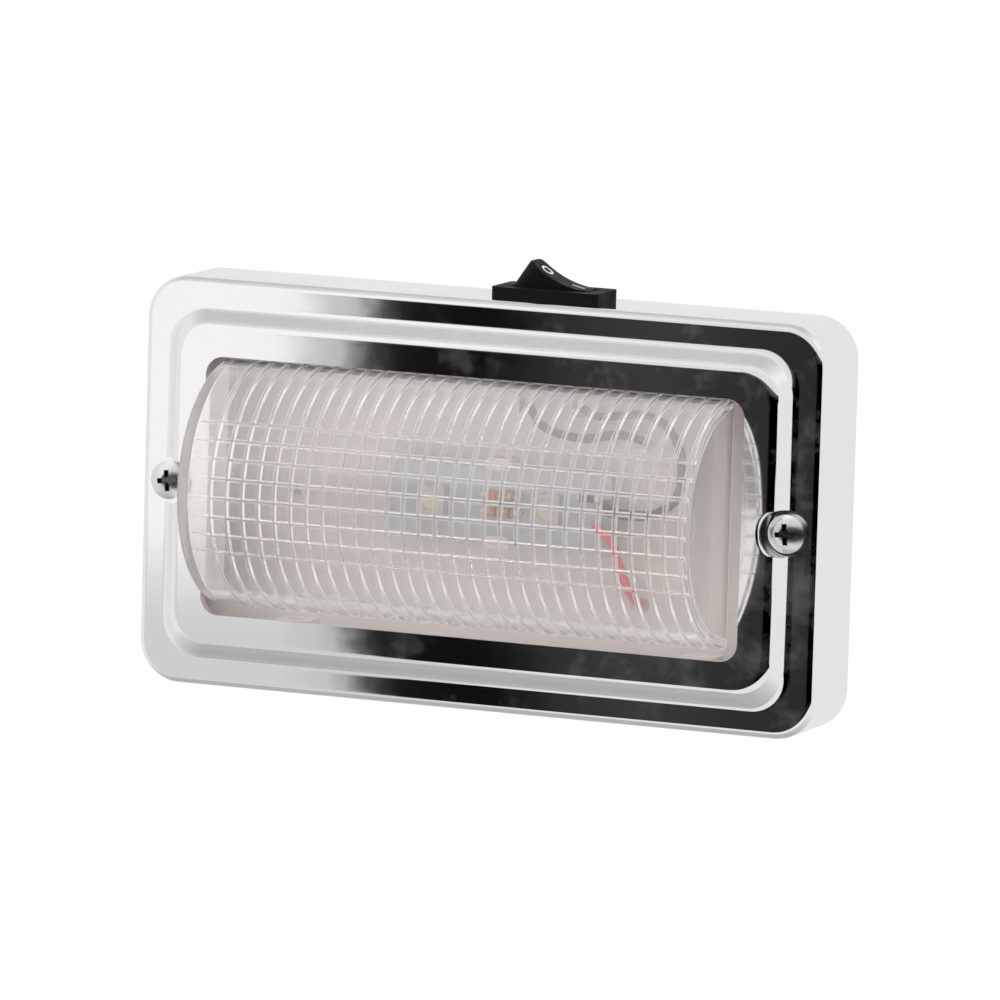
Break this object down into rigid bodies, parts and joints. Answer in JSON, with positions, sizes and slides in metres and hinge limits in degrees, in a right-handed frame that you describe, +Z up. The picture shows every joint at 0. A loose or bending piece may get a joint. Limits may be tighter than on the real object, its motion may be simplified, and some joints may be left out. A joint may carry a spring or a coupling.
{
  "type": "car dome light",
  "caption": "Surface-mounted car dome light: chrome bezel, clear ribbed half-round lens, LED board, screws in round pockets and a rocker switch in the top wall.",
  "frame": {"origin": "centre of the back face, the plane of the bezel's rim that meets the car's panel", "axes": "+X to the right of a viewer facing the lens, +Y out of the back face into the panel, +Z up to the wall with the switch"},
  "size_m": [0.14, 0.0491, 0.0863],
  "materials": {
    "chrome_shell": "polished chrome plating on moulded plastic",
    "clear_lens": "clear moulded plastic, ribbed outside",
    "base_plastic": "pale pinkish beige",
    "board": "white solder mask",
    "led": "white package with pale phosphor",
    "resistor": "tan body with colour bands",
    "diode": "black",
    "screw_steel": "zinc plated",
    "black_plastic": "fine matte black",
    "rocker_plastic": "satin black with white symbols",
    "brass": "plain",
    "spring_steel": "bright wire",
    "copper": "phosphor bronze strip",
    "tin_plate": "tinned brass",
    "wire_black": "black insulation",
    "wire_red": "red insulation"
  },
  "bodies": {
    "light": {"bezel": "chrome_shell", "lens": "clear_lens", "base": "base_plastic", "light_board": "board", "led_left": "led", "led_right": "led", "resistor_upper": "resistor", "resistor_lower": "resistor", "polarity_diode": "diode", "screw_left": "screw_steel", "screw_right": "screw_steel", "switch_housing": "black_plastic", "common_terminal": "tin_plate", "live_terminal": "tin_plate", "switched_wire": "wire_black", "ground_wire": "wire_black", "supply_wire": "wire_red"},
    "switch_rocker": {"rocker": "rocker_plastic", "contact_plunger": "brass", "plunger_spring": "spring_steel"},
    "switch_bar": {"contact_bar": "copper"}
  },
  "joints": [
    {"name": "rocker_hinge", "type": "hinge", "parent": "light", "child": "switch_rocker", "pos_m": [0.0108, -0.0081, 0.0405], "axis": [0, -1, 0], "range_deg": [0, 48]},
    {"name": "bar_hinge", "type": "hinge", "parent": "light", "child": "switch_bar", "pos_m": [0.0108, -0.0081, 0.031], "axis": [0, 1, 0], "range_deg": [0, 16]}
  ],
  "couplings": [
    {"joint": "bar_hinge", "follows": "rocker_hinge", "ratio": 0.33333}
  ]
}
